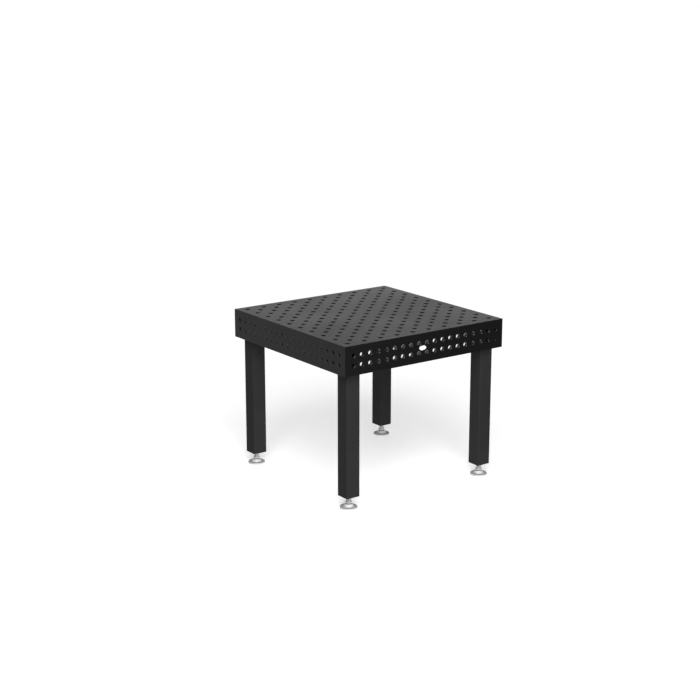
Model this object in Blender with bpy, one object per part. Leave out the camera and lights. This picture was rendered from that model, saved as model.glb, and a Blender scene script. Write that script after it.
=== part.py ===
"""Perforated welding table on four square legs with levelling feet.

Units are metres and +Z is up. The origin is on the floor, under the centre of the top. The front wall, which
carries the badge, faces -Y, and the left wall faces -X.
"""

import math

import bpy

# The top and its box
SIDE = 1.000
HEIGHT = 0.850
BOX_DEPTH = 0.150
PLATE = 0.018
RIB = 0.012
RIB_LIFT = 0.005
RIB_OFFSET = 0.025
GAP = 0.0003

# The clamp hole grid
PITCH = 0.050
HOLE_RADIUS = 0.011
HOLE_SIDES = 8
STEPS = round(SIDE / PITCH)
WALL_ROWS = (0.050, 0.100)

# The legs
LEG_SIDE = 0.080
LEG_INSET = 0.075
LEG_WALL = 0.004
LEG_CORNER = 0.006
LEG_BOTTOM = 0.063
MOUNT = 0.012
MOUNT_OUT = 0.055
MOUNT_IN = 0.059
MOUNT_HOLES = (-0.025, 0.025)

# The M10 socket-head bolts, from the leg's centre towards the middle of the table
BOLT_RADIUS = 0.005
BOLT_CLEARANCE = 0.0055
BOLT_HEAD = 0.008
BOLT_HEAD_HEIGHT = 0.010
BOLT_LENGTH = 0.022
BOLT_SOCKET = 0.0046
BOLT_SOCKET_DEPTH = 0.005
BOLT_PLACES = ((0.0495, -0.033), (0.0495, 0.017), (-0.033, 0.0495), (0.017, 0.0495))

# The levelling feet: an M24 spindle with a ball end, in a seat inside the foot pad
TURNED_SIDES = 12
THREAD_RADIUS = 0.012
THREAD_HOLE = 0.0123 / math.cos(math.pi / TURNED_SIDES)
FOOT_PLATE = 0.015
NUT_HEIGHT = 0.012
NUT_CORNER = 0.018 / math.cos(math.pi / 6)
HEX_CORNER = 0.016 / math.cos(math.pi / 6)
HEX_BOTTOM = 0.0265
HEX_TOP = 0.0345
SPINDLE_TOP = 0.158
THREAD_CHAMFER = 0.002
NECK_RADIUS = 0.007
BALL_CENTRE = 0.013
BALL_RADIUS = 0.009
SEAT_INNER = 0.0095
SEAT_OUTER = 0.0105
SEAT_REACH = 0.006
CAVITY_RADIUS = 0.0112
CAVITY_MOUTH = 0.0098
PAD_RADIUS = 0.045
PAD_EDGE = 0.008
PAD_FLANGE = 0.0095
HUB_FOOT = 0.0265
HUB_RIM = 0.019
HUB_TOP = 0.0225

# The badge
BADGE_SIZE = (0.047, 0.0265)
BADGE_PLACE = (-0.027, 0.775)
BADGE_THICKNESS = 0.0012
BADGE_SIDES = 20

CORNERS = {
    "front_left": (-1, -1),
    "front_right": (1, -1),
    "rear_left": (-1, 1),
    "rear_right": (1, 1),
}


def clear_scene():
    for obj in list(bpy.data.objects):
        bpy.data.objects.remove(obj, do_unlink=True)


def material(name, colour, roughness, metallic):
    made = bpy.data.materials.new(name)
    made.use_nodes = True
    shader = made.node_tree.nodes["Principled BSDF"]
    shader.inputs["Base Color"].default_value = (*colour, 1.0)
    shader.inputs["Roughness"].default_value = roughness
    shader.inputs["Metallic"].default_value = metallic
    return made


def polygon(radius, sides, centre=(0.0, 0.0)):
    """A regular polygon with two of its flats square to the first axis."""
    turns = [2 * math.pi * (k + 0.5) / sides for k in range(sides)]
    return [(centre[0] + radius * math.cos(t), centre[1] + radius * math.sin(t)) for t in turns]


def clamp_hole(centre):
    """The polygon that has a round clamp hole's area."""
    turn = 2 * math.pi / HOLE_SIDES
    return polygon(HOLE_RADIUS * math.sqrt(turn / math.sin(turn)), HOLE_SIDES, centre)


def rectangle(low, high):
    return [(low[0], low[1]), (high[0], low[1]), (high[0], high[1]), (low[0], high[1])]


def rounded_square(side, radius, steps=3):
    reach = side / 2 - radius
    outline = []
    for quarter, (sx, sy) in enumerate(((1, 1), (-1, 1), (-1, -1), (1, -1))):
        for k in range(steps + 1):
            turn = math.pi / 2 * (quarter + k / steps)
            outline.append((sx * reach + radius * math.cos(turn), sy * reach + radius * math.sin(turn)))
    return outline


def keep(obj, finish, place, turn=(0.0, 0.0, 0.0), parent=None):
    obj.data.materials.append(finish)
    obj.location = place
    obj.rotation_euler = turn
    obj.parent = parent
    bpy.context.scene.collection.objects.link(obj)
    return obj


def flat_piece(name, outlines, thickness):
    """A plate in its own XY plane, its thickness centred on it. Outlines inside the first are holes."""
    curve = bpy.data.curves.new(name, "CURVE")
    curve.dimensions = "2D"
    curve.fill_mode = "BOTH"
    curve.extrude = thickness / 2
    for outline in outlines:
        spline = curve.splines.new("POLY")
        spline.points.add(len(outline) - 1)
        spline.use_cyclic_u = True
        for point, (x, y) in zip(spline.points, outline):
            point.co = (x, y, 0.0, 1.0)
    return bpy.data.objects.new(name, curve)


def hexagonal(turn, corner):
    """A hexagon's radius in the direction turn, for a corner at zero."""
    off_flat = turn % (math.pi / 3) - math.pi / 6
    return corner * math.cos(math.pi / 6) / math.cos(off_flat)


def turned_piece(name, rings, sides=TURNED_SIDES):
    """A solid of rings round Z, each (radius, z) or (corner radius, z, "hex"), closed at both ends."""
    points = []
    for radius, z, *shape in rings:
        if radius == 0:
            points.append((0.0, 0.0, z))
            continue
        for k in range(sides):
            turn = 2 * math.pi * k / sides
            reach = hexagonal(turn, radius) if shape else radius
            points.append((reach * math.cos(turn), reach * math.sin(turn), z))
    faces = []
    last = len(points) - 1
    for k in range(sides):
        after = (k + 1) % sides
        faces.append((0, 1 + after, 1 + k))
        faces.append((last, last - sides + k, last - sides + after))
        for ring in range(len(rings) - 3):
            low = 1 + ring * sides
            faces.append((low + k, low + after, low + sides + after, low + sides + k))
    mesh = bpy.data.meshes.new(name)
    mesh.from_pydata(points, [], faces)
    mesh.shade_smooth()
    mesh.set_sharp_from_angle(angle=math.radians(35))
    return bpy.data.objects.new(name, mesh)


def turned_ring(name, profile, sides=TURNED_SIDES):
    """A ring whose closed (radius, z) profile runs anticlockwise, seen with the axis on the left."""
    points = []
    for radius, z in profile:
        for k in range(sides):
            turn = 2 * math.pi * k / sides
            points.append((radius * math.cos(turn), radius * math.sin(turn), z))
    faces = []
    for ring in range(len(profile)):
        low = ring * sides
        high = (ring + 1) % len(profile) * sides
        for k in range(sides):
            after = (k + 1) % sides
            faces.append((low + k, low + after, high + after, high + k))
    mesh = bpy.data.meshes.new(name)
    mesh.from_pydata(points, [], faces)
    mesh.shade_smooth()
    return bpy.data.objects.new(name, mesh)


def sphere_arc(radius, low, high, steps):
    """Points on a ball about the ball centre, from height low to height high above it."""
    first = math.asin(low / radius)
    last = math.asin(high / radius)
    turns = [first + (last - first) * k / steps for k in range(steps + 1)]
    return [(radius * math.cos(t), BALL_CENTRE + radius * math.sin(t)) for t in turns]


def top_and_walls(steel):
    half = SIDE / 2
    lattice = [(i, j) for i in range(1, STEPS) for j in range(1, STEPS) if (i + j) % 2 == 0]
    holes = [clamp_hole((i * PITCH - half, j * PITCH - half)) for i, j in lattice]
    top = flat_piece("top_plate", [rectangle((-half, -half), (half, half))] + holes, PLATE)
    keep(top, steel, (0, 0, HEIGHT - PLATE / 2))

    # A wall's own X runs along it, and its own Y is up, from the box's lower edge.
    wall_height = BOX_DEPTH - PLATE - GAP
    side_length = SIDE - 2 * (PLATE + GAP)
    rows = [BOX_DEPTH - drop for drop in WALL_ROWS]
    wall_holes = [clamp_hole((i * PITCH - half, row)) for row in rows for i in range(1, STEPS)]
    middle = half - PLATE / 2
    low = HEIGHT - BOX_DEPTH
    upright = math.pi / 2
    walls = (
        ("front_wall", SIDE, (0, -middle, low), (upright, 0, 0)),
        ("rear_wall", SIDE, (0, middle, low), (upright, 0, 0)),
        ("left_wall", side_length, (-middle, 0, low), (upright, 0, upright)),
        ("right_wall", side_length, (middle, 0, low), (upright, 0, upright)),
    )
    for name, length, place, turn in walls:
        outline = rectangle((-length / 2, 0), (length / 2, wall_height))
        keep(flat_piece(name, [outline] + wall_holes, PLATE), steel, place, turn)


def ribs(steel):
    height = BOX_DEPTH - PLATE - GAP - RIB_LIFT
    inner = SIDE / 2 - PLATE - GAP
    low = HEIGHT - BOX_DEPTH + RIB_LIFT
    upright = math.pi / 2
    long_rib = flat_piece("long_rib", [rectangle((-inner, 0), (inner, height))], RIB)
    keep(long_rib, steel, (RIB_OFFSET, 0, low), (upright, 0, upright))
    near = RIB_OFFSET - RIB / 2 - GAP
    far = RIB_OFFSET + RIB / 2 + GAP
    for name, start, end in (("cross_rib_left", -inner, near), ("cross_rib_right", far, inner)):
        rib = flat_piece(name, [rectangle((start, 0), (end, height))], RIB)
        keep(rib, steel, (0, RIB_OFFSET, low), (upright, 0, 0))


def leg(corner, steel, paint, bolt_steel):
    """The tube, with the plates and bolts that fasten its head, and the threaded plate in its foot."""
    sx, sy = CORNERS[corner]
    centre = (sx * (SIDE / 2 - LEG_INSET), sy * (SIDE / 2 - LEG_INSET))

    def inward(a, b):
        """A point a and b towards the table's middle from the leg's centre, as local coordinates."""
        return (-sx * a, -sy * b)

    block_low = HEIGHT - PLATE - GAP - MOUNT
    head_low = block_low - GAP - MOUNT
    tube_top = head_low - GAP
    square = rectangle(inward(-MOUNT_OUT, -MOUNT_OUT), inward(MOUNT_IN, MOUNT_IN))
    clamp_holes = [clamp_hole(inward(place, place)) for place in MOUNT_HOLES]
    places = [inward(a, b) for a, b in BOLT_PLACES]
    for name, low, radius, finish in (
        ("leg_mount_block_", block_low, BOLT_RADIUS + GAP, steel),
        ("leg_head_plate_", head_low, BOLT_CLEARANCE, paint),
    ):
        bolt_holes = [polygon(radius / math.cos(math.pi / 6), 6, place) for place in places]
        plate = flat_piece(name + corner, [square] + clamp_holes + bolt_holes, MOUNT)
        keep(plate, finish, (*centre, low + MOUNT / 2))

    length = tube_top - LEG_BOTTOM
    outer = rounded_square(LEG_SIDE, LEG_CORNER)
    bore = rounded_square(LEG_SIDE - 2 * LEG_WALL, LEG_CORNER - LEG_WALL)
    tube = flat_piece("leg_tube_" + corner, [outer, bore], length)
    keep(tube, paint, (*centre, LEG_BOTTOM + length / 2))

    inner_side = LEG_SIDE - 2 * (LEG_WALL + GAP)
    foot_outline = rounded_square(inner_side, LEG_CORNER - LEG_WALL)
    thread = polygon(THREAD_HOLE, TURNED_SIDES)
    foot_plate = flat_piece("foot_plate_" + corner, [foot_outline, thread], FOOT_PLATE)
    keep(foot_plate, paint, (*centre, LEG_BOTTOM + GAP + FOOT_PLATE / 2))

    bolt_low = head_low - (GAP + BOLT_HEAD_HEIGHT)
    for number, (x, y) in enumerate(places, 1):
        rings = [
            (0, BOLT_SOCKET_DEPTH),
            (BOLT_SOCKET, BOLT_SOCKET_DEPTH, "hex"),
            (BOLT_SOCKET, 0, "hex"),
            (BOLT_HEAD, 0),
            (BOLT_HEAD, BOLT_HEAD_HEIGHT),
            (BOLT_RADIUS - GAP, BOLT_HEAD_HEIGHT),
            (BOLT_RADIUS - GAP, BOLT_HEAD_HEIGHT + BOLT_LENGTH),
            (0, BOLT_HEAD_HEIGHT + BOLT_LENGTH),
        ]
        bolt = turned_piece(f"leg_bolt_{corner}_{number}", rings)
        keep(bolt, bolt_steel, (centre[0] + x, centre[1] + y, bolt_low))


def foot(corner, plated, seat_plastic):
    """The levelling foot. Its empty stands on the axis that the spindle, the nut and the pad share."""
    sx, sy = CORNERS[corner]
    axis = bpy.data.objects.new("foot_axis_" + corner, None)
    axis.location = (sx * (SIDE / 2 - LEG_INSET), sy * (SIDE / 2 - LEG_INSET), 0)
    bpy.context.scene.collection.objects.link(axis)

    cavity = sphere_arc(CAVITY_RADIUS, -CAVITY_RADIUS * math.cos(math.pi / 8), SEAT_REACH, 5)
    pad_rings = [
        (0, 0),
        (PAD_RADIUS, 0),
        (PAD_RADIUS, PAD_EDGE),
        (HUB_FOOT, PAD_FLANGE),
        (HUB_RIM, HUB_TOP),
        (CAVITY_MOUTH, HUB_TOP),
        *reversed(cavity),
        (0, BALL_CENTRE - CAVITY_RADIUS),
    ]
    keep(turned_piece("foot_pad_" + corner, pad_rings), plated, (0, 0, 0), parent=axis)

    seat_profile = [
        *sphere_arc(SEAT_OUTER, -SEAT_REACH, SEAT_REACH, 3),
        *reversed(sphere_arc(SEAT_INNER, -SEAT_REACH, SEAT_REACH, 3)),
    ]
    keep(turned_ring("ball_seat_" + corner, seat_profile), seat_plastic, (0, 0, 0), parent=axis)

    neck_height = math.sqrt(BALL_RADIUS**2 - NECK_RADIUS**2)
    ball = sphere_arc(BALL_RADIUS, -BALL_RADIUS * math.cos(math.pi / 6), neck_height, 4)
    spindle_rings = [
        (0, BALL_CENTRE - BALL_RADIUS),
        *ball,
        (NECK_RADIUS, HEX_BOTTOM),
        (HEX_CORNER, HEX_BOTTOM, "hex"),
        (HEX_CORNER, HEX_TOP, "hex"),
        (THREAD_RADIUS, HEX_TOP),
        (THREAD_RADIUS, SPINDLE_TOP - THREAD_CHAMFER),
        (THREAD_RADIUS - THREAD_CHAMFER, SPINDLE_TOP),
        (0, SPINDLE_TOP),
    ]
    keep(turned_piece("spindle_" + corner, spindle_rings), plated, (0, 0, 0), parent=axis)

    nut_outlines = [polygon(NUT_CORNER, 6), polygon(THREAD_HOLE, TURNED_SIDES)]
    nut = flat_piece("jam_nut_" + corner, nut_outlines, NUT_HEIGHT)
    keep(nut, plated, (0, 0, LEG_BOTTOM - GAP - NUT_HEIGHT / 2), parent=axis)


def badge(white):
    turns = [2 * math.pi * k / BADGE_SIDES for k in range(BADGE_SIDES)]
    width, height = BADGE_SIZE
    oval = [(width / 2 * math.cos(t), height / 2 * math.sin(t)) for t in turns]
    x, z = BADGE_PLACE
    y = -SIDE / 2 - GAP - BADGE_THICKNESS / 2
    keep(flat_piece("badge", [oval], BADGE_THICKNESS), white, (x, y, z), (math.pi / 2, 0, 0))


def main():
    clear_scene()
    steel = material("treated_steel", (0.085, 0.087, 0.092), 0.45, 0.7)
    paint = material("leg_paint", (0.060, 0.062, 0.066), 0.5, 0.0)
    bolt_steel = material("bolt_steel", (0.10, 0.10, 0.11), 0.4, 0.9)
    plated = material("plated_steel", (0.62, 0.63, 0.64), 0.3, 1.0)
    seat_plastic = material("seat_plastic", (0.75, 0.74, 0.70), 0.5, 0.0)
    white = material("badge_enamel", (0.80, 0.80, 0.80), 0.3, 0.0)
    top_and_walls(steel)
    ribs(steel)
    for corner in CORNERS:
        leg(corner, steel, paint, bolt_steel)
        foot(corner, plated, seat_plastic)
    badge(white)


main()
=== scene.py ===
"""The looks of a perforated welding table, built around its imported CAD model. Metres, in the CAD's frame.

The front wall, with the badge, faces -Y and the left wall faces -X.
"""

import math

import bpy
from mathutils import Matrix, Vector


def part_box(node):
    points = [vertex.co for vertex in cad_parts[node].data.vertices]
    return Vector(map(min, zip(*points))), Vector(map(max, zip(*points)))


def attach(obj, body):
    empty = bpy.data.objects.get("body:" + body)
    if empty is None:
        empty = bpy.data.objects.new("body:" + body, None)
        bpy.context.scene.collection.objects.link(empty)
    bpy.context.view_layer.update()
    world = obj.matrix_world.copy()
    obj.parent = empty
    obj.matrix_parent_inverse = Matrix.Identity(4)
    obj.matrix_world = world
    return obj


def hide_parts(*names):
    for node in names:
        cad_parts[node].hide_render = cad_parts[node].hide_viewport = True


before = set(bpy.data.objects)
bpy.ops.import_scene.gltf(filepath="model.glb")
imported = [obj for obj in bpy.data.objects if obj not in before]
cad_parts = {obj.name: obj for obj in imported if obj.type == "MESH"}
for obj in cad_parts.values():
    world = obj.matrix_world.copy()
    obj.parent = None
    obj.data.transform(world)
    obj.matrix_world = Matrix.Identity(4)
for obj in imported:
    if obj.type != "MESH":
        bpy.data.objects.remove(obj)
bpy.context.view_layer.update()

# The camera that sees the table as the photograph does
CAMERA_PLACE = (-4.3955, -5.9026, 2.5789)
CAMERA_TILT = math.radians(75.34)
CAMERA_TURN = math.radians(-35.995)
CAMERA_LENS = 74.49
SENSOR_WIDTH = 36

# The clamp hole grid. A hole has a chamfer at the outer and one at the inner face of its plate
PITCH = 0.050
STEPS = 20
HALF_SIDE = PITCH * STEPS / 2
BORE_RADIUS = 0.011
TOP_CHAMFERS = (0.0031, 0.0014)
WALL_CHAMFERS = (0.0005, 0.0022)
HOLE_SIDES = 48
OUTER_ROUND = 0.0016

# How far the walls' two rows of holes are below the top, and the tolerance for two equal places
WALL_ROWS = (0.100, 0.050)
SAME_PLACE = 1e-5

# The leg tubes
TUBE_WALL = 0.004
TUBE_ROUND = 0.006
TUBE_ROUND_INSIDE = 0.002
TUBE_CHAMFER = 0.0006

# The spindles' ball ends: the height of the centre above the floor, and the radius
BALL_CENTRE = 0.013
BALL_RADIUS = 0.009

# Turned and threaded pieces
ROUND_SIDES = 64
PAD_SIDES = 96
HEXAGON_CHAMFER = math.tan(math.radians(30))
THREAD_RADIUS = 0.012
THREAD_PITCH = 0.003
THREAD_DEPTH = 0.00184
THREAD_SAMPLES = 8

CORNERS = {
    "front_left": (-1, -1),
    "front_right": (1, -1),
    "rear_left": (-1, 1),
    "rear_right": (1, 1),
}


# ---------------------------------------------------------------- materials


class Shader:
    """A Principled material, with short ways to add the nodes that drive it."""

    def __init__(self, name, colour, roughness, metallic=0.0, specular=0.5):
        self.material = bpy.data.materials.new(name)
        self.material.use_nodes = True
        self.tree = self.material.node_tree
        self.surface = self.tree.nodes["Principled BSDF"]
        self.colour = colour
        self.surface.inputs["Base Color"].default_value = (*colour, 1.0)
        self.surface.inputs["Roughness"].default_value = roughness
        self.surface.inputs["Metallic"].default_value = metallic
        self.surface.inputs["Specular IOR Level"].default_value = specular
        self.place = self.add("ShaderNodeTexCoord").outputs["Object"]

    def add(self, kind, links=(), **settings):
        """A node with its properties and sockets set. A socket's name has its spaces as underscores."""
        made = self.tree.nodes.new(kind)
        for key, value in settings.items():
            if hasattr(made, key):
                setattr(made, key, value)
            else:
                made.inputs[key.replace("_", " ")].default_value = value
        for socket, source in dict(links).items():
            self.tree.links.new(source, made.inputs[socket])
        return made

    def stretched(self, scale, turn=(0.0, 0.0, 0.0)):
        node = self.add("ShaderNodeMapping", {"Vector": self.place})
        node.inputs["Scale"].default_value = scale
        node.inputs["Rotation"].default_value = turn
        return node.outputs["Vector"]

    def noise(self, scale, detail=3.0, place=None, roughness=0.5):
        node = self.add("ShaderNodeTexNoise", {"Vector": place or self.place}, Scale=scale, Detail=detail)
        node.inputs["Roughness"].default_value = roughness
        return node.outputs["Fac"]

    def ranged(self, value, low, high, new_low, new_high):
        links = {"Value": value}
        sizes = {"From_Min": low, "From_Max": high, "To_Min": new_low, "To_Max": new_high}
        return self.add("ShaderNodeMapRange", links, clamp=True, **sizes).outputs["Result"]

    def combined(self, operation, first, second):
        node = self.add("ShaderNodeMath", operation=operation)
        self.tree.links.new(first, node.inputs[0])
        self.tree.links.new(second, node.inputs[1])
        return node.outputs[0]

    def sum(self, first, second):
        return self.combined("ADD", first, second)

    def product(self, first, second):
        return self.combined("MULTIPLY", first, second)

    def tint(self, factor, other, colour=None):
        """A mix by factor to the other colour, from a linked colour or else from the material's own."""
        node = self.add("ShaderNodeMix", data_type="RGBA")
        self.tree.links.new(factor, node.inputs["Factor"])
        if colour is None:
            node.inputs[6].default_value = (*self.colour, 1.0)
        else:
            self.tree.links.new(colour, node.inputs[6])
        node.inputs[7].default_value = (*other, 1.0)
        return node.outputs[2]

    def drive(self, socket, source):
        self.tree.links.new(source, self.surface.inputs[socket])

    def bump(self, height, distance, strength=1.0):
        node = self.add("ShaderNodeBump", {"Height": height}, Strength=strength, Distance=distance)
        self.drive("Normal", node.outputs["Normal"])


def scaled(colour, factor):
    return tuple(channel * factor for channel in colour)


def ground_steel(name, colour, roughness, along, metallic, specular):
    """Dark treated plate: grinding lines along one axis, cloudy treatment and a few stray scratches."""
    made = Shader(name, colour, roughness, metallic, specular)
    axis = "XYZ".index(along)
    fine = 420.0
    line_scale = [fine] * 3
    line_scale[axis] = 7.0
    lines = made.noise(1.0, 4.0, made.stretched(line_scale), 0.65)
    clouds = made.noise(3.2, 5.0)
    specks = made.noise(900.0, 2.0)
    scratch_scale = [fine * 0.6] * 3
    scratch_scale[axis] = 14.0
    askew = [math.radians(turn) for turn in (9, 7, 13)]
    scratches = made.noise(1.0, 2.0, made.stretched(scratch_scale, askew), 0.5)
    stray = made.ranged(scratches, 0.66, 0.78, 0.0, 1.0)
    light = made.tint(made.ranged(clouds, 0.35, 0.7, 0.0, 1.0), scaled(colour, 1.16))
    light = made.tint(made.ranged(lines, 0.45, 0.75, 0.0, 0.45), scaled(colour, 1.45), light)
    light = made.tint(made.ranged(specks, 0.55, 0.8, 0.0, 0.4), scaled(colour, 0.6), light)
    light = made.tint(made.product(stray, clouds), scaled(colour, 1.8), light)
    made.drive("Base Color", light)
    rough = made.sum(
        made.ranged(clouds, 0.3, 0.7, roughness - 0.02, roughness + 0.03),
        made.ranged(lines, 0.3, 0.7, -0.06, 0.07),
    )
    made.drive("Roughness", rough)
    made.bump(made.sum(made.ranged(lines, 0.2, 0.8, 0.0, 1.0), stray), 0.00006)
    return made.material


def bored_steel(name, colour, roughness, metallic):
    """The walls of the clamp holes: smooth machined metal with fine feed marks."""
    made = Shader(name, colour, roughness, metallic)
    marks = made.noise(1400.0, 2.0)
    patches = made.noise(90.0, 3.0)
    light = made.tint(made.ranged(marks, 0.4, 0.7, 0.0, 0.5), scaled(colour, 0.62))
    light = made.tint(made.ranged(patches, 0.45, 0.75, 0.0, 0.5), scaled(colour, 0.72), light)
    made.drive("Base Color", light)
    made.drive("Roughness", made.ranged(patches, 0.3, 0.7, roughness - 0.07, roughness + 0.09))
    made.bump(marks, 0.00003)
    return made.material


def powder_coat(name, colour, roughness, specular):
    """Satin powder coat: orange peel, a slight cloudiness and dust-fine specks."""
    made = Shader(name, colour, roughness, 0.0, specular)
    peel = made.noise(520.0, 2.0)
    grain = made.noise(2300.0, 1.0)
    clouds = made.noise(5.0, 4.0)
    light = made.tint(made.ranged(clouds, 0.35, 0.7, 0.0, 1.0), scaled(colour, 1.15))
    light = made.tint(made.ranged(grain, 0.6, 0.75, 0.0, 0.5), scaled(colour, 1.6), light)
    made.drive("Base Color", light)
    rough = made.sum(
        made.ranged(clouds, 0.3, 0.7, roughness - 0.04, roughness + 0.05),
        made.ranged(peel, 0.3, 0.7, -0.03, 0.03),
    )
    made.drive("Roughness", rough)
    made.bump(made.sum(peel, made.ranged(grain, 0.3, 0.8, 0.0, 0.4)), 0.00009)
    return made.material


def plated(name, colour, roughness, centre):
    """Dull zinc plate on a turned piece: tool marks in rings round its axis, and painted shade that darkens
    it where it looks up.
    """
    made = Shader(name, colour, roughness, 0.08, 0.25)
    shifted = made.add("ShaderNodeMapping", {"Vector": made.place})
    shifted.inputs["Location"].default_value = (-centre[0], -centre[1], 0.0)
    wave = made.add(
        "ShaderNodeTexWave",
        {"Vector": shifted.outputs["Vector"]},
        wave_type="RINGS",
        rings_direction="Z",
        Scale=380.0,
        Distortion=0.25,
        Detail=1.0,
    )
    rings = wave.outputs["Fac"]
    clouds = made.noise(70.0, 4.0)
    stains = made.noise(24.0, 3.0)
    light = made.tint(made.ranged(clouds, 0.4, 0.7, 0.0, 0.6), scaled(colour, 0.8))
    light = made.tint(made.ranged(stains, 0.55, 0.75, 0.0, 0.35), scaled(colour, 0.55), light)
    # Painted shade: faces that look up, such as the flange's top, are darkened towards 0.45 of the zinc's
    # colour by their world normal.
    facing = made.add("ShaderNodeNewGeometry").outputs["Normal"]
    upward = made.add("ShaderNodeSeparateXYZ", {"Vector": facing}).outputs["Z"]
    light = made.tint(made.ranged(upward, 0.55, 0.97, 0.0, 0.9), scaled(colour, 0.45), light)
    made.drive("Base Color", light)
    rough = made.sum(
        made.ranged(clouds, 0.3, 0.7, roughness - 0.06, roughness + 0.08),
        made.ranged(rings, 0.0, 1.0, -0.03, 0.03),
    )
    made.drive("Roughness", rough)
    made.bump(made.sum(rings, made.ranged(clouds, 0.3, 0.7, 0.0, 0.3)), 0.00002)
    return made.material


def oxide(name, colour, roughness):
    """Black oxide on forged steel: oily patches and a slight forged grain."""
    made = Shader(name, colour, roughness, 0.9)
    grain = made.noise(650.0, 3.0)
    patches = made.noise(120.0, 3.0)
    made.drive("Base Color", made.tint(made.ranged(patches, 0.4, 0.7, 0.0, 1.0), scaled(colour, 1.7)))
    made.drive("Roughness", made.ranged(patches, 0.3, 0.7, roughness - 0.08, roughness + 0.1))
    made.bump(grain, 0.00005)
    return made.material


def weld_metal():
    """A weld bead: dull silver crests that go brown and blue towards the plate."""
    made = Shader("weld_metal", (0.20, 0.195, 0.19), 0.42, 0.9)
    heat = made.noise(140.0, 3.0)
    grain = made.noise(900.0, 2.0)
    light = made.tint(made.ranged(heat, 0.45, 0.62, 0.0, 0.7), (0.10, 0.075, 0.055))
    light = made.tint(made.ranged(heat, 0.62, 0.75, 0.0, 0.6), (0.06, 0.075, 0.11), light)
    made.drive("Base Color", light)
    made.drive("Roughness", made.ranged(grain, 0.3, 0.7, 0.34, 0.55))
    made.bump(grain, 0.00008)
    return made.material


def nylon():
    made = Shader("seat_nylon", (0.74, 0.72, 0.66), 0.5)
    mottle = made.noise(260.0, 3.0)
    made.drive("Base Color", made.tint(made.ranged(mottle, 0.4, 0.7, 0.0, 1.0), (0.66, 0.63, 0.56)))
    made.drive("Roughness", made.ranged(mottle, 0.3, 0.7, 0.42, 0.58))
    made.bump(mottle, 0.00004)
    return made.material


def enamel():
    made = Shader("badge_white", (0.86, 0.86, 0.85), 0.22)
    made.surface.inputs["Coat Weight"].default_value = 0.5
    made.surface.inputs["Coat Roughness"].default_value = 0.08
    mottle = made.noise(380.0, 3.0)
    made.drive("Base Color", made.tint(made.ranged(mottle, 0.4, 0.7, 0.0, 1.0), (0.80, 0.80, 0.79)))
    made.drive("Roughness", made.ranged(mottle, 0.3, 0.7, 0.18, 0.28))
    made.bump(mottle, 0.00002)
    return made.material


# ---------------------------------------------------------------- mesh building


def mesh_piece(name, points, faces, materials, indices=None, sharp=32.0):
    """An object of these faces, smooth where they meet at less than the sharp angle in degrees."""
    mesh = bpy.data.meshes.new(name)
    mesh.from_pydata([tuple(point) for point in points], [], faces)
    for material in materials:
        mesh.materials.append(material)
    if indices:
        mesh.polygons.foreach_set("material_index", indices)
    mesh.shade_smooth()
    mesh.set_sharp_from_angle(angle=math.radians(sharp))
    obj = bpy.data.objects.new(name, mesh)
    bpy.context.scene.collection.objects.link(obj)
    return obj


def finish_piece(piece, body, slot, *nodes):
    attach(piece, body)
    if nodes:
        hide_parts(*nodes)


def loft(loops, closed=False, start_cap=False, end_cap=False):
    """(points, faces) through loops of equal length, each anticlockwise seen from ahead."""
    count = len(loops[0])
    points = [point for loop in loops for point in loop]
    faces = []
    for ring in range(len(loops) if closed else len(loops) - 1):
        low = ring * count
        high = (ring + 1) % len(loops) * count
        for k in range(count):
            after = (k + 1) % count
            faces.append((low + k, low + after, high + after, high + k))
    if start_cap:
        faces.append(tuple(reversed(range(count))))
    if end_cap:
        faces.append(tuple(range(len(points) - count, len(points))))
    return points, faces


def compass(sides):
    """The (cosine, sine) of each step of a full turn."""
    turns = [2 * math.pi * k / sides for k in range(sides)]
    return [(math.cos(turn), math.sin(turn)) for turn in turns]


def circle(radius, z, sides=ROUND_SIDES):
    return [(radius * cosine, radius * sine, z) for cosine, sine in compass(sides)]


def hexagon(corner, level, toward=1, base_radius=None, sides=ROUND_SIDES):
    """A hexagon as a loop of many points, with this radius to its corners.

    With a base_radius it lies on a chamfer cone that leaves the level there, upwards (1) or downwards (-1).
    """
    loop = []
    for k in range(sides):
        turn = 2 * math.pi * k / sides
        off_flat = turn % (math.pi / 3) - math.pi / 6
        reach = corner * math.cos(math.pi / 6) / math.cos(off_flat)
        rise = 0.0 if base_radius is None else (reach - base_radius) * HEXAGON_CHAMFER
        loop.append((reach * math.cos(turn), reach * math.sin(turn), level + toward * rise))
    return loop


def arc(centre, radius, first, last, steps):
    """(r, z) points on a round from the first to the last angle in degrees."""
    turns = [math.radians(first + (last - first) * k / steps) for k in range(steps + 1)]
    return [(centre[0] + radius * math.cos(t), centre[1] + radius * math.sin(t)) for t in turns]


def moved(points, centre):
    return [(x + centre[0], y + centre[1], z) for x, y, z in points]


# A plate's materials: its outer face, its hole walls, the sides that run across and up, and its inner face
FACE, BORE, RIM, END, BACK = range(5)


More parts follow.
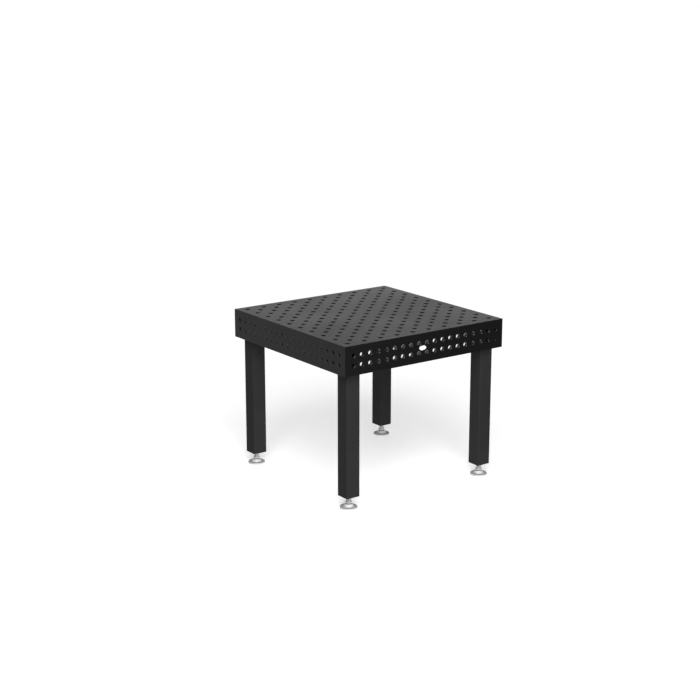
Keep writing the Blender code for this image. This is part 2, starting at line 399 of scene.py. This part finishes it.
def perforated_plate(
    name, columns, rows, holes, chamfers, thickness, across, up, corner, materials, rounded
):
    """A plate with round holes in the cells of a grid, chamfered at its outer and inner face by chamfers.

    across and up are the directions of the plate's own axes, and corner is where they start on its outer
    face. rounded says which edges are rounded, by their ends (u, v, depth) on those axes and inward.
    """
    outward = Vector(across).cross(Vector(up))
    points = []
    faces = []
    indices = []

    def point(u, v, depth):
        points.append(Vector(corner) + Vector(across) * u + Vector(up) * v - outward * depth)
        return len(points) - 1

    def face(corners, index=FACE):
        faces.append(corners)
        indices.append(index)

    outer = [[point(u, v, 0) for v in rows] for u in columns]
    inner = [[point(u, v, thickness) for v in rows] for u in columns]
    quarter = HOLE_SIDES // 4
    outer_chamfer, inner_chamfer = chamfers
    levels = (
        (BORE_RADIUS + outer_chamfer, 0),
        (BORE_RADIUS, outer_chamfer),
        (BORE_RADIUS, thickness - inner_chamfer),
        (BORE_RADIUS + inner_chamfer, thickness),
    )
    hole_turns = compass(HOLE_SIDES)
    for a in range(len(columns) - 1):
        for b in range(len(rows) - 1):
            # A cell's corners, anticlockwise from the top right one, seen from outside
            cell = ((a + 1, b + 1), (a, b + 1), (a, b), (a + 1, b))
            front = [outer[i][j] for i, j in cell]
            back = [inner[i][j] for i, j in cell]
            if (a, b) not in holes:
                face(tuple(front))
                face(tuple(reversed(back)), BACK)
                continue
            u = (columns[a] + columns[a + 1]) / 2
            v = (rows[b] + rows[b + 1]) / 2
            rings = []
            for radius, depth in levels:
                rings.append([point(u + radius * x, v + radius * y, depth) for x, y in hole_turns])
            for k in range(HOLE_SIDES):
                after = (k + 1) % HOLE_SIDES
                face((rings[0][k], front[k // quarter], rings[0][after]))
                face((rings[3][after], back[k // quarter], rings[3][k]), BACK)
                for first, second in zip(rings, rings[1:]):
                    face((first[k], first[after], second[after], second[k]), BORE)
            for q in range(4):
                k = (q + 1) * quarter % HOLE_SIDES
                after = (q + 1) % 4
                face((rings[0][k], front[q], front[after]))
                face((rings[3][k], back[after], back[q]), BACK)
    last_u = len(columns) - 1
    last_v = len(rows) - 1
    rim = [(i, 0) for i in range(last_u)] + [(last_u, j) for j in range(last_v)]
    rim += [(i, last_v) for i in range(last_u, 0, -1)] + [(0, j) for j in range(last_v, 0, -1)]
    for (i, j), (m, n) in zip(rim, rim[1:] + rim[:1]):
        face((outer[m][n], outer[i][j], inner[i][j], inner[m][n]), END if i == m else RIM)

    piece = mesh_piece(name, points, faces, materials, indices)
    round_edges(piece, Vector(corner), Vector(across), Vector(up), outward, rounded)
    return piece


def round_edges(piece, corner, across, up, outward, rounded):
    """Rounds the edges that rounded picks by their two ends, given as (u, v, depth) on the plate's axes."""
    mesh = piece.data
    weights = mesh.attributes.new("bevel_weight_edge", "FLOAT", "EDGE")
    for edge in mesh.edges:
        ends = [mesh.vertices[k].co - corner for k in edge.vertices]
        local = [(end.dot(across), end.dot(up), -end.dot(outward)) for end in ends]
        weights.data[edge.index].value = 1.0 if rounded(*local) else 0.0
    bevel = piece.modifiers.new("outer_edges", "BEVEL")
    bevel.limit_method = "WEIGHT"
    bevel.width = OUTER_ROUND
    bevel.segments = 4
    bevel.harden_normals = True
    bevel.loop_slide = False


# ---------------------------------------------------------------- the box


def grid_lines(length):
    """The cell lines along a side: its two ends, and the lines half-way between the holes."""
    inside = [PITCH * (k + 0.5) for k in range(STEPS)]
    shift = (length - STEPS * PITCH) / 2
    return [0.0] + [line + shift for line in inside] + [length]


def close(first, second):
    return abs(first - second) < SAME_PLACE


def top_plate(materials):
    low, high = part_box("top_plate")
    lines = grid_lines(high.x - low.x)
    side = lines[-1]
    holes = {(i, j) for i in range(1, STEPS) for j in range(1, STEPS) if (i + j) % 2 == 0}

    def rounded(first, second):
        """Picks the rim's edges on the top face, and the four upright corners."""
        sides = [(axis, end) for axis in (0, 1) for end in (0.0, side)]
        touched = sum(close(first[axis], end) and close(second[axis], end) for axis, end in sides)
        on_top = close(first[2], 0) and close(second[2], 0)
        return touched == 2 or (touched == 1 and on_top)

    corner = (low.x, low.y, high.z)
    across = (1, 0, 0)
    up = (0, 1, 0)
    shape = (lines, lines, holes, TOP_CHAMFERS, high.z - low.z)
    piece = perforated_plate("table_top", *shape, across, up, corner, materials, rounded)
    finish_piece(piece, "table", "table_top", "top_plate")


def wall(node, across, materials, at_corner):
    """A side wall. It reaches up to the plate and along to its neighbours, over the CAD's small gaps.

    The walls at_corner run to the table's corners, and the other two stand between them.
    """
    low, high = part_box(node)
    under, top = [end.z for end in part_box("top_plate")]
    across = Vector(across)
    up = Vector((0, 0, 1))
    outward = across.cross(up)
    thickness = min(high.x - low.x, high.y - low.y)
    half = HALF_SIDE if at_corner else HALF_SIDE - thickness
    start = outward * HALF_SIDE - across * half
    corner = (start.x, start.y, low.z)
    height = under - low.z
    lower, upper = [top - low.z - drop for drop in WALL_ROWS]
    rows = [0.0, lower - PITCH / 2, (lower + upper) / 2, upper + PITCH / 2, height]
    holes = {(i, j) for i in range(1, STEPS) for j in (1, 2)}
    length = 2 * half

    def rounded(first, second):
        at_foot = close(first[1], 0) and close(second[1], 0) and close(first[2], second[2])
        at_end = any(close(first[0], end) and close(second[0], end) for end in (0.0, length))
        outside = close(first[2], 0) and close(second[2], 0)
        return at_foot or (at_corner and at_end and outside)

    shape = (grid_lines(length), rows, holes, WALL_CHAMFERS, thickness)
    piece = perforated_plate(node + "_skin", *shape, across, up, corner, materials, rounded)
    finish_piece(piece, "table", "table_walls", node)


def bevelled_node(node, material, width):
    """A CAD node that keeps its shape, with its own material and slightly broken edges."""
    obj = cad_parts[node]
    for slot in obj.material_slots:
        slot.material = material
    bevel = obj.modifiers.new("broken_edges", "BEVEL")
    bevel.width = width
    bevel.segments = 2
    bevel.limit_method = "ANGLE"
    bevel.angle_limit = math.radians(50)


# ---------------------------------------------------------------- the legs


def square_loop(half, radius, z, steps=8):
    """A square with rounded corners, of so many steps each."""
    loop = []
    for quarter, (sx, sy) in enumerate(((1, 1), (-1, 1), (-1, -1), (1, -1))):
        for k in range(steps + 1):
            turn = math.pi / 2 * (quarter + k / steps)
            x = sx * (half - radius) + radius * math.cos(turn)
            y = sy * (half - radius) + radius * math.sin(turn)
            loop.append((x, y, z))
    return loop


def leg_centre(corner):
    low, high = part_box("leg_tube_" + corner)
    return ((low.x + high.x) / 2, (low.y + high.y) / 2)


def leg_tube(corner, paint):
    low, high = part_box("leg_tube_" + corner)
    outer = (high.x - low.x) / 2
    inner = outer - TUBE_WALL
    chamfer = TUBE_CHAMFER
    loops = [
        square_loop(outer - chamfer, TUBE_ROUND - chamfer, low.z),
        square_loop(outer, TUBE_ROUND, low.z + chamfer),
        square_loop(outer, TUBE_ROUND, high.z - chamfer),
        square_loop(outer - chamfer, TUBE_ROUND - chamfer, high.z),
        square_loop(inner + chamfer, TUBE_ROUND_INSIDE + chamfer, high.z),
        square_loop(inner, TUBE_ROUND_INSIDE, high.z - chamfer),
        square_loop(inner, TUBE_ROUND_INSIDE, low.z + chamfer),
        square_loop(inner + chamfer, TUBE_ROUND_INSIDE + chamfer, low.z),
    ]
    points, faces = loft(loops, closed=True)
    piece = mesh_piece("leg_" + corner, moved(points, leg_centre(corner)), faces, [paint])
    finish_piece(piece, "table", "leg_paint", "leg_tube_" + corner)


def ripple(step, height, rate, drift_rate, drift_start=0.0):
    """A weld's size at this step, about 1: even ripples of this height, and a slower drift."""
    drift = 0.05 * math.sin(drift_rate * step + drift_start)
    return 1 + height * math.sin(rate * step) + drift


def head_weld(corner, weld):
    """The bead round the tube's head, where it meets the head plate."""
    low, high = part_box("leg_tube_" + corner)
    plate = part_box("leg_head_plate_" + corner)[0].z
    corners = [Vector(point) for point in square_loop((high.x - low.x) / 2, TUBE_ROUND, plate, 12)]
    size = 0.0055
    section_gap = 0.0016
    path = []
    for first, second in zip(corners, corners[1:] + corners[:1]):
        pieces = max(1, round((second - first).length / section_gap))
        path += [first.lerp(second, step / pieces) for step in range(pieces)]
    inside = ((-0.1, -0.9), (-0.1, 0.0))
    outside = ((1.0, 0.0), (0.88, -0.42), (0.42, -0.88), (0.0, -1.0))
    loops = []
    for k, here in enumerate(path):
        along = (path[(k + 1) % len(path)] - path[k - 1]).normalized()
        out = Vector((along.y, -along.x, 0)) * size
        down = Vector((0, 0, size))
        swell = ripple(k, 0.13, 2.1, 0.37)
        root = [here + out * a + down * b for a, b in inside]
        crest = [here + (out * a + down * b) * swell for a, b in outside]
        loops.append(root + crest)
    points, faces = loft(loops, closed=True)
    faces = [tuple(reversed(face)) for face in faces]
    piece = mesh_piece("leg_weld_" + corner, moved(points, leg_centre(corner)), faces, [weld], sharp=60)
    finish_piece(piece, "table", "leg_paint")


def bolt_mesh():
    """A socket-head cap screw with a knurled head, its socket opening at the bottom, round its own axis."""
    head = 0.008
    height = 0.010
    shank = 0.0047
    length = 0.032
    socket = 0.0046
    depth = 0.005
    knurl = 0.035

    def knurled(z):
        """The head's outline, with every other point drawn in by the knurl."""
        reaches = [1 - knurl * (k % 2) for k in range(ROUND_SIDES)]
        return [(x * reach, y * reach, z) for reach, (x, y, _) in zip(reaches, circle(head, z))]

    loops = [
        hexagon(socket, depth),
        hexagon(socket, 0.0006),
        circle(socket + 0.0006, 0.0),
        circle(head - 0.0012, 0.0),
        circle(head - 0.0003, 0.0007),
        knurled(0.0012),
        knurled(height - 0.0012),
        circle(head - 0.0003, height - 0.0006),
        circle(head - 0.0010, height),
        circle(shank, height),
        circle(shank, length - 0.0008),
        circle(shank - 0.0008, length),
    ]
    return loft(loops, start_cap=True, end_cap=True)


def leg_bolts(corner, black):
    points, faces = bolt_mesh()
    for number in range(1, 5):
        node = f"leg_bolt_{corner}_{number}"
        low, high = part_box(node)
        middle = (low + high) / 2
        placed = [(x + middle.x, y + middle.y, z + low.z) for x, y, z in points]
        piece = mesh_piece(f"socket_bolt_{corner}_{number}", placed, faces, [black])
        finish_piece(piece, "table", "bolt_steel", node)


# ---------------------------------------------------------------- the feet


def foot_pad(corner, steel):
    """The turned pad: a flange that dishes up a little to a conical hub, with the ball's cavity in it."""
    top = 0.0225
    cavity = 0.0112
    profile = [
        (0.0430, 0.0),
        *arc((0.0440, 0.0010), 0.0010, -90, 0, 3),
        *arc((0.0436, 0.0066), 0.0014, 0, 84, 5),
        (0.0275, 0.0092),
        *arc((0.0275, 0.0107), 0.0015, 270, 205, 4),
        (0.0222, 0.0164),
        *arc((0.0176, top - 0.0014), 0.0014, 22, 90, 4),
        (0.0112, top),
        (0.0101, top - 0.0011),
        *arc((0, BALL_CENTRE), cavity, 32.4, -88, 12),
    ]
    loops = [circle(radius, z, PAD_SIDES) for radius, z in profile]
    points, faces = loft(loops, start_cap=True, end_cap=True)
    piece = mesh_piece("pad_" + corner, moved(points, leg_centre(corner)), faces, [steel], sharp=28)
    finish_piece(piece, "foot_base_" + corner, "plated_steel", "foot_pad_" + corner)


def ball_seat(corner, plastic):
    """The plastic ring between the ball and the pad's cavity, of equal reach above and below the centre."""
    reach = 0.006
    outer = 0.0105
    inner = 0.0095
    centre = (0, BALL_CENTRE)
    turn_out = math.degrees(math.asin(reach / outer))
    turn_in = math.degrees(math.asin(reach / inner))
    profile = arc(centre, outer, -turn_out, turn_out, 8) + arc(centre, inner, turn_in, -turn_in, 8)
    points, faces = loft([circle(radius, z) for radius, z in profile], closed=True)
    piece = mesh_piece("seat_" + corner, moved(points, leg_centre(corner)), faces, [plastic])
    finish_piece(piece, "foot_carrier_" + corner, "seat_plastic", "ball_seat_" + corner)


def thread_loops(radius, low, high, sides):
    """A right-hand thread between two heights, which runs out into plain rings at both ends."""
    step = THREAD_PITCH / THREAD_SAMPLES
    count = round((high - low) / step)
    flank_slope = 2.7
    crest = 0.17
    run_in = 1.5 * THREAD_PITCH
    run_out = THREAD_PITCH
    loops = []
    for n in range(count + 1):
        z = low + (high - low) * n / count
        fade = min(1.0, (z - low) / run_in, (high - z) / run_out)
        loop = []
        for k in range(sides):
            turn = 2 * math.pi * k / sides
            phase = (z / THREAD_PITCH - k / sides) % 1.0
            depth = min(1.0, max(0.0, flank_slope * abs(phase - 0.5) - crest))
            reach = radius - THREAD_DEPTH * depth * fade
            loop.append((reach * math.cos(turn), reach * math.sin(turn), z))
        loops.append(loop)
    return loops


def spindle(corner, steel):
    """The screw with its ball end, neck and adjusting hexagon."""
    sides = ROUND_SIDES - 4
    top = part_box("spindle_" + corner)[1].z
    neck = 0.007
    half_across_flats = 0.016
    hex_corner = half_across_flats / math.cos(math.pi / 6)
    hex_low = 0.0265
    hex_high = 0.0345
    hex_circle = 0.0152
    neck_turn = math.degrees(math.acos(neck / BALL_RADIUS))
    profile = arc((0, BALL_CENTRE), BALL_RADIUS, -88, neck_turn, 14)
    profile += [(neck, hex_low - 0.0015), (neck + 0.0012, hex_low)]
    loops = [circle(radius, z, sides) for radius, z in profile]
    loops += [
        circle(hex_circle, hex_low, sides),
        hexagon(hex_corner, hex_low, 1, hex_circle, sides),
        hexagon(hex_corner, hex_high, -1, hex_circle, sides),
        circle(hex_circle, hex_high, sides),
        circle(THREAD_RADIUS + 0.0006, hex_high, sides),
        circle(THREAD_RADIUS - 0.0002, hex_high + 0.0007, sides),
    ]
    chamfer = 0.0022
    loops += thread_loops(THREAD_RADIUS, hex_high + 0.0016, top - chamfer, sides)
    loops.append(circle(THREAD_RADIUS - chamfer, top, sides))
    points, faces = loft(loops, start_cap=True, end_cap=True)
    piece = mesh_piece("screw_" + corner, moved(points, leg_centre(corner)), faces, [steel])
    finish_piece(piece, "foot_screw_" + corner, "plated_steel", "spindle_" + corner)


def jam_nut(corner, steel):
    low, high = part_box("jam_nut_" + corner)
    half_across_flats = 0.018
    nut_corner = half_across_flats / math.cos(math.pi / 6)
    face_radius = 0.0172
    bore = 0.0122
    chamfer = 0.0012
    loops = [
        circle(bore, low.z + chamfer),
        circle(bore + chamfer, low.z),
        circle(face_radius, low.z),
        hexagon(nut_corner, low.z, 1, face_radius),
        hexagon(nut_corner, high.z, -1, face_radius),
        circle(face_radius, high.z),
        circle(bore + chamfer, high.z),
        circle(bore, high.z - chamfer),
    ]
    points, faces = loft(loops, closed=True)
    half_flat = Matrix.Rotation(math.radians(30), 3, "Z")
    points = [half_flat @ Vector(point) for point in points]
    piece = mesh_piece("lock_nut_" + corner, moved(points, leg_centre(corner)), faces, [steel])
    finish_piece(piece, "lock_nut_" + corner, "plated_steel", "jam_nut_" + corner)


# ---------------------------------------------------------------- badge and welds


def badge(white, rim_metal):
    """A blank enamelled oval with a raised metal rim."""
    low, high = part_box("badge")
    centre = (low + high) / 2
    half_width = (high.x - low.x) / 2
    half_height = (high.z - low.z) / 2
    back = high.y + 0.0003
    front = low.y
    # Each outline's inset and depth: the side, the rim's rounded top, and the enamel's low dome
    steps = (
        (0.0, back),
        (0.0, front + 0.0004),
        (0.0004, front),
        (0.0016, front),
        (0.0020, front + 0.00035),
        (0.0040, front + 0.00030),
        (0.0090, front + 0.00012),
    )
    turns = compass(ROUND_SIDES)
    loops = []
    for inset, y in steps:
        width = half_width - inset
        height = half_height - inset
        loops.append([(centre.x + width * across, y, centre.z + height * up) for across, up in turns])
    points, faces = loft(loops, start_cap=True, end_cap=True)
    rim_rings = 4
    indices = [1 if k < rim_rings * ROUND_SIDES else 0 for k in range(len(faces))]
    piece = mesh_piece("oval_badge", points, faces, [white, rim_metal], indices)
    finish_piece(piece, "table", "badge_enamel", "badge")


def bead(start, end, first_side, second_side, size):
    """(points, faces) of a fillet weld from start to end in the corner between two square directions."""
    start = Vector(start)
    end = Vector(end)
    first_side = Vector(first_side)
    second_side = Vector(second_side)
    section_gap = 0.0022
    profile = ((-0.05, -0.05), (1.0, -0.05), (0.95, 0.3), (0.68, 0.68), (0.3, 0.95), (-0.05, 1.0))
    steps = max(6, round((end - start).length / section_gap))
    loops = []
    for k in range(steps + 1):
        here = start.lerp(end, k / steps)
        taper = min(1.0, 0.35 + 0.3 * min(k, steps - k))
        reach = size * taper * ripple(k, 0.12, 2.3, 0.7, 1)
        loops.append([here + first_side * (a * reach) + second_side * (b * reach) for a, b in profile])
    points, faces = loft(loops, start_cap=True, end_cap=True)
    along = (end - start).normalized()
    if first_side.cross(second_side).dot(along) < 0:
        faces = [tuple(reversed(corners)) for corners in faces]
    return points, faces


def stitch(runs, name, weld, size=0.005, stitch_length=0.055, gap=0.095):
    """One piece of stitch welds along each run (start, end, first side, second side)."""
    points = []
    faces = []
    for start, end, first_side, second_side in runs:
        start = Vector(start)
        end = Vector(end)
        length = (end - start).length
        along = (end - start) / length
        count = max(1, int((length + gap) / (stitch_length + gap)))
        spare = (length - count * stitch_length) / count
        for n in range(count):
            begin = start + along * (spare / 2 + n * (stitch_length + spare))
            finish = begin + along * stitch_length
            more_points, more_faces = bead(begin, finish, first_side, second_side, size)
            offset = len(points)
            points += more_points
            faces += [tuple(index + offset for index in corners) for corners in more_faces]
    piece = mesh_piece(name, points, faces, [weld], sharp=50)
    finish_piece(piece, "table", "ribs")


def box_welds(weld):
    """The stitch welds inside the box: along the ribs, the walls and the legs' mount blocks."""
    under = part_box("top_plate")[0].z
    down = (0, 0, -1)
    inset = 0.01
    rib_low, rib_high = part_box("long_rib")
    runs = []
    for x, side in ((rib_low.x, (-1, 0, 0)), (rib_high.x, (1, 0, 0))):
        runs.append(((x, rib_low.y + inset, under), (x, rib_high.y - inset, under), side, down))
        for y, along in ((rib_low.y, (0, 1, 0)), (rib_high.y, (0, -1, 0))):
            runs.append(((x, y, rib_low.z + inset), (x, y, rib_high.z - inset), side, along))
    for node in ("cross_rib_left", "cross_rib_right"):
        low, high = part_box(node)
        for y, side in ((low.y, (0, -1, 0)), (high.y, (0, 1, 0))):
            runs.append(((low.x + inset, y, under), (high.x - inset, y, under), side, down))
            for x, along in ((low.x, (1, 0, 0)), (high.x, (-1, 0, 0))):
                runs.append(((x, y, low.z + inset), (x, y, high.z - inset), side, along))
    stitch(runs, "rib_welds", weld)

    wall_low, wall_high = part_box("front_wall")
    inner = wall_high.y
    reach = -inner
    end_gap = 0.004
    runs = [
        ((-reach, inner, under), (reach, inner, under), (0, 1, 0), down),
        ((-reach, -inner, under), (reach, -inner, under), (0, -1, 0), down),
        ((inner, -reach, under), (inner, reach, under), (1, 0, 0), down),
        ((-inner, -reach, under), (-inner, reach, under), (-1, 0, 0), down),
    ]
    for sx, sy in CORNERS.values():
        foot = (sx * reach, sy * reach, wall_low.z + end_gap)
        head = (sx * reach, sy * reach, under - end_gap)
        runs.append((foot, head, (-sx, 0, 0), (0, -sy, 0)))
    stitch(runs, "wall_welds", weld)

    runs = []
    for corner, (sx, sy) in CORNERS.items():
        low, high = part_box("leg_mount_block_" + corner)
        x = low.x if sx > 0 else high.x
        y = low.y if sy > 0 else high.y
        runs.append(((x, low.y + inset, under), (x, high.y - inset, under), (-sx, 0, 0), down))
        runs.append(((low.x + inset, y, under), (high.x - inset, y, under), (0, -sy, 0), down))
    stitch(runs, "block_welds", weld, stitch_length=0.07)


# ---------------------------------------------------------------- studio

# Flat directions: towards the camera, and to the right as it sees the table
CAMERA_SIDE = Vector((-0.588, -0.809, 0.0))
CAMERA_RIGHT = Vector((0.809, -0.588, 0.0))

# What the camera sees: a pale floor that turns white between two distances, and a white sky
FLOOR_SIZE = 600
FLOOR_DROP = 0.0004
FLOOR_LIFT = 0.43
WHITE_STARTS = 1.5
WHITE_FULL = 3.2
WHITE_GLOW = 1.02

# What the floor gives the table: a glow from the left (bright) to the right (dim), and a pool under it
FLOOR_DIM = 0.18
FLOOR_BRIGHT = 0.68
FLOOR_RUN = 3.4
POOL_GLOW = 0.65
POOL_CORE = 0.3
POOL_RADIUS = 0.9
SKY_GLOW = 0.30

# Each softbox: its name, place, target, (width, height) and power in watts
SOFTBOXES = (
    ("key", CAMERA_SIDE * 4.8 + Vector((0, 0, 4.6)), (0, 0, 0.4), (4.0, 4.0), 380),
    ("front", (-0.9, -5.2, 0.8), (0, 0, 0.45), (4.0, 1.3), 140),
    ("back", CAMERA_SIDE * -4.5 + Vector((0, 0, 2.0)), (0, 0, 0.85), (5.0, 1.6), 30),
)


def map_range(tree, value, low, high, new_low, new_high):
    """A smooth step from the new low to the new high, as the value goes from low to high."""
    node = tree.nodes.new("ShaderNodeMapRange")
    node.interpolation_type = "SMOOTHSTEP"
    tree.links.new(value, node.inputs["Value"])
    for name, size in (("From Min", low), ("From Max", high), ("To Min", new_low), ("To Max", new_high)):
        node.inputs[name].default_value = size
    return node.outputs["Result"]


def floor():
    """A pale floor, plain white far away. The table itself sees it as a dimmer and uneven glow."""
    bpy.ops.mesh.primitive_plane_add(size=FLOOR_SIZE, location=(0, 0, -FLOOR_DROP))
    ground = bpy.context.object
    ground.name = "studio_floor"
    made = bpy.data.materials.new("pale_floor")
    made.use_nodes = True
    tree = made.node_tree
    nodes = tree.nodes
    link = tree.links.new
    surface = nodes["Principled BSDF"]
    surface.inputs["Base Color"].default_value = (0.86, 0.86, 0.86, 1.0)
    surface.inputs["Roughness"].default_value = 0.9
    surface.inputs["Specular IOR Level"].default_value = 0.0
    surface.inputs["Emission Color"].default_value = (1.0, 1.0, 1.0, 1.0)
    surface.inputs["Emission Strength"].default_value = FLOOR_LIFT
    place = nodes.new("ShaderNodeTexCoord").outputs["Object"]

    reach = nodes.new("ShaderNodeVectorMath")
    reach.operation = "LENGTH"
    link(place, reach.inputs[0])
    white = nodes.new("ShaderNodeEmission")
    white.inputs["Strength"].default_value = WHITE_GLOW
    far_off = map_range(tree, reach.outputs["Value"], WHITE_STARTS, WHITE_FULL, 0.0, 1.0)
    near = nodes.new("ShaderNodeMixShader")
    link(far_off, near.inputs[0])
    link(surface.outputs[0], near.inputs[1])
    link(white.outputs[0], near.inputs[2])

    slant = nodes.new("ShaderNodeVectorMath")
    slant.operation = "DOT_PRODUCT"
    slant.inputs[1].default_value = CAMERA_RIGHT
    link(place, slant.inputs[0])
    sweep = map_range(tree, slant.outputs["Value"], -FLOOR_RUN, FLOOR_RUN, FLOOR_BRIGHT, FLOOR_DIM)
    pool = map_range(tree, reach.outputs["Value"], POOL_CORE, POOL_RADIUS, POOL_GLOW, 0.0)
    both = nodes.new("ShaderNodeMath")
    link(sweep, both.inputs[0])
    link(pool, both.inputs[1])
    glow = nodes.new("ShaderNodeEmission")
    link(both.outputs[0], glow.inputs["Strength"])

    seen = nodes.new("ShaderNodeLightPath").outputs["Is Camera Ray"]
    mix = nodes.new("ShaderNodeMixShader")
    link(seen, mix.inputs[0])
    link(glow.outputs[0], mix.inputs[1])
    link(near.outputs[0], mix.inputs[2])
    link(mix.outputs[0], nodes["Material Output"].inputs["Surface"])
    ground.data.materials.append(made)


def sky():
    """White to the camera, and a dim even studio to everything else."""
    world = bpy.data.worlds.new("studio")
    bpy.context.scene.world = world
    world.use_nodes = True
    nodes = world.node_tree.nodes
    link = world.node_tree.links.new
    seen = nodes.new("ShaderNodeLightPath").outputs["Is Camera Ray"]
    dim = nodes["Background"]
    dim.inputs["Color"].default_value = (1, 1, 1, 1)
    dim.inputs["Strength"].default_value = SKY_GLOW
    bright = nodes.new("ShaderNodeBackground")
    bright.inputs["Color"].default_value = (1, 1, 1, 1)
    bright.inputs["Strength"].default_value = WHITE_GLOW
    mix = nodes.new("ShaderNodeMixShader")
    link(seen, mix.inputs[0])
    link(dim.outputs[0], mix.inputs[1])
    link(bright.outputs[0], mix.inputs[2])
    link(mix.outputs[0], nodes["World Output"].inputs["Surface"])


def softbox(name, place, target, size, power):
    light = bpy.data.lights.new(name, "AREA")
    light.shape = "RECTANGLE"
    light.size, light.size_y = size
    light.energy = power
    lamp = bpy.data.objects.new(name, light)
    lamp.location = place
    lamp.rotation_euler = (Vector(target) - Vector(place)).to_track_quat("-Z", "Y").to_euler()
    lamp.visible_camera = False
    bpy.context.scene.collection.objects.link(lamp)


def camera():
    data = bpy.data.cameras.new("photo_camera")
    data.lens = CAMERA_LENS
    data.sensor_width = SENSOR_WIDTH
    seen_from = bpy.data.objects.new("photo_camera", data)
    seen_from.location = CAMERA_PLACE
    seen_from.rotation_euler = (CAMERA_TILT, 0, CAMERA_TURN)
    bpy.context.scene.collection.objects.link(seen_from)
    bpy.context.scene.camera = seen_from


def build():
    bpy.context.scene.view_settings.view_transform = "Standard"
    camera()
    floor()
    sky()
    for settings in SOFTBOXES:
        softbox(*settings)

    dark = (0.005, 0.005, 0.0051)
    bored = (0.125, 0.125, 0.126)
    # The two wall steels are lit and shaded copies of one dark steel, real only in their grinding
    # direction: the front and rear walls' copy is darker and less glossy, as painted shade, and the left
    # and right walls' copy is glossier, as painted sheen.
    walls_along_x_painted_shade = ground_steel("wall_steel_x_painted_shade", (0.0035, 0.0035, 0.0036), 0.45, "X", 0.0, 0.12)
    walls_along_y_painted_light = ground_steel("wall_steel_y_painted_light", dark, 0.45, "Y", 0.0, 0.26)
    top_steel = ground_steel("top_steel", dark, 0.45, "X", 0.0, 0.20)
    # Inside steel for the ribs, the mount blocks and the plates' inner faces: a copy of the dark steel made
    # far lighter, painted light for the inside of the box.
    inside_steel_painted_light = ground_steel("inside_steel_painted_light", (0.36, 0.36, 0.362), 0.6, "X", 0.2, 0.4)
    # The bore steels are lit and shaded copies: the left and right walls' bores are less metallic than the
    # front and rear walls', so their holes look lighter, as painted light, and the top's bores are much
    # darker, as painted shade.
    bore_along_y = bored_steel("wall_bore_steel_x", bored, 0.26, 0.93)
    bore_along_x_painted_light = bored_steel("wall_bore_steel_y_painted_light", bored, 0.26, 0.82)
    top_bore_painted_shade = bored_steel("top_bore_steel_painted_shade", (0.030, 0.030, 0.0305), 0.35, 0.88)
    paint = powder_coat("leg_paint", (0.021, 0.021, 0.0212), 0.55, 0.05)
    black = oxide("black_oxide", (0.035, 0.035, 0.038), 0.38)
    weld = weld_metal()
    white = enamel()
    plastic = nylon()

    # Each plate's sides take the wall steels, and its inner face the lighter inside steel, which is painted
    # light.
    edges = [walls_along_x_painted_shade, walls_along_y_painted_light, inside_steel_painted_light]
    top_plate([top_steel, top_bore_painted_shade, *edges])
    wall("front_wall", (1, 0, 0), [walls_along_x_painted_shade, bore_along_y, *edges], True)
    wall("rear_wall", (-1, 0, 0), [walls_along_x_painted_shade, bore_along_y, *edges], True)
    wall("left_wall", (0, -1, 0), [walls_along_y_painted_light, bore_along_x_painted_light, *edges], False)
    wall("right_wall", (0, 1, 0), [walls_along_y_painted_light, bore_along_x_painted_light, *edges], False)
    for node in ("long_rib", "cross_rib_left", "cross_rib_right"):
        bevelled_node(node, inside_steel_painted_light, 0.0008)
    for corner in CORNERS:
        zinc = plated("zinc_" + corner, (0.60, 0.60, 0.605), 0.55, leg_centre(corner))
        # The mount blocks take the lighter inside steel too: painted light in the box's corners.
        bevelled_node("leg_mount_block_" + corner, inside_steel_painted_light, 0.0008)
        bevelled_node("leg_head_plate_" + corner, paint, 0.0010)
        bevelled_node("foot_plate_" + corner, paint, 0.0005)
        leg_tube(corner, paint)
        head_weld(corner, paint)
        leg_bolts(corner, black)
        foot_pad(corner, zinc)
        ball_seat(corner, plastic)
        spindle(corner, zinc)
        jam_nut(corner, zinc)
    badge(white, bore_along_y)
    box_welds(weld)


build()
